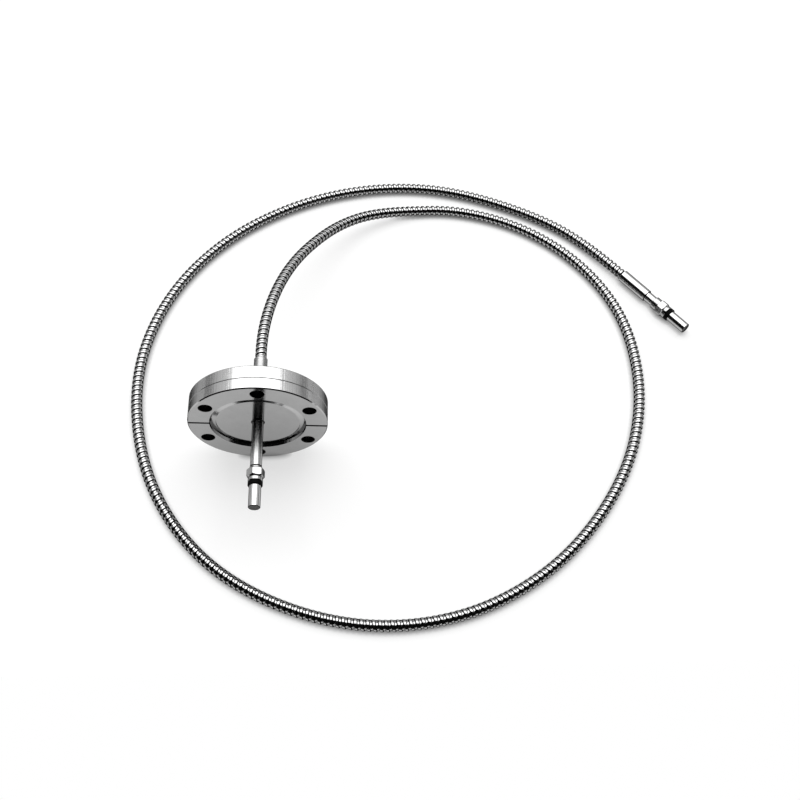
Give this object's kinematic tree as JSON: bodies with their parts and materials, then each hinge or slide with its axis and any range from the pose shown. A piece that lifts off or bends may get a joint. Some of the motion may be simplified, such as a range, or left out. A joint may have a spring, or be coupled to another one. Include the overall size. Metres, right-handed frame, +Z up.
{
  "type": "fibre-optic vacuum feedthrough",
  "caption": "Knife-edge vacuum flange with a fibre tube through it, capped screw connectors, and an armoured steel hose that lies in a loose loop on the air side.",
  "frame": {"origin": "centre of the bolt circle on the flange's sealing face", "axes": "-Y along the axis to the vacuum side, +Y to the air side and the hose, +Z up as the flange stands on its rim on a table"},
  "size_m": [0.3106, 0.283, 0.07],
  "materials": {
    "flange_steel": "turned and polished",
    "turned_steel": "polished",
    "nut_steel": "bright milled flats",
    "hose_steel": "wound bright strip",
    "rubber": "matt black",
    "potting": "cast epoxy",
    "fibre": "coated glass fibre"
  },
  "bodies": {
    "feedthrough": {"flange": "flange_steel", "feed_tube": "turned_steel", "tube_seal": "potting", "vacuum_fibre": "fibre", "vacuum_ferrule": "turned_steel", "vacuum_nut_ring": "turned_steel", "hose_gland": "turned_steel", "armoured_hose": "hose_steel", "end_sleeve": "turned_steel", "end_body": "turned_steel", "end_fibre": "fibre", "end_ferrule": "turned_steel", "end_nut_ring": "turned_steel"},
    "vacuum_nut": {"vacuum_nut": "nut_steel"},
    "vacuum_cap": {"vacuum_cap": "turned_steel", "vacuum_cap_seal": "rubber"},
    "end_nut": {"end_nut": "nut_steel"},
    "end_cap": {"end_cap": "turned_steel", "end_cap_seal": "rubber"}
  },
  "joints": [
    {"name": "vacuum_nut_spin", "type": "hinge", "parent": "feedthrough", "child": "vacuum_nut", "pos_m": [0, -0.028, 0], "axis": [0, -1, 0], "continuous": true},
    {"name": "vacuum_cap_off", "type": "slide", "parent": "vacuum_nut", "child": "vacuum_cap", "axis": [0, -1, 0], "range_m": [0, 0.02]},
    {"name": "end_nut_spin", "type": "hinge", "parent": "feedthrough", "child": "end_nut", "pos_m": [0.22352, 0.08789, -0.03038], "axis": [0.6293, -0.7771, 0], "continuous": true},
    {"name": "end_cap_off", "type": "slide", "parent": "end_nut", "child": "end_cap", "axis": [0.6293, -0.7771, 0], "range_m": [0, 0.02]}
  ]
}
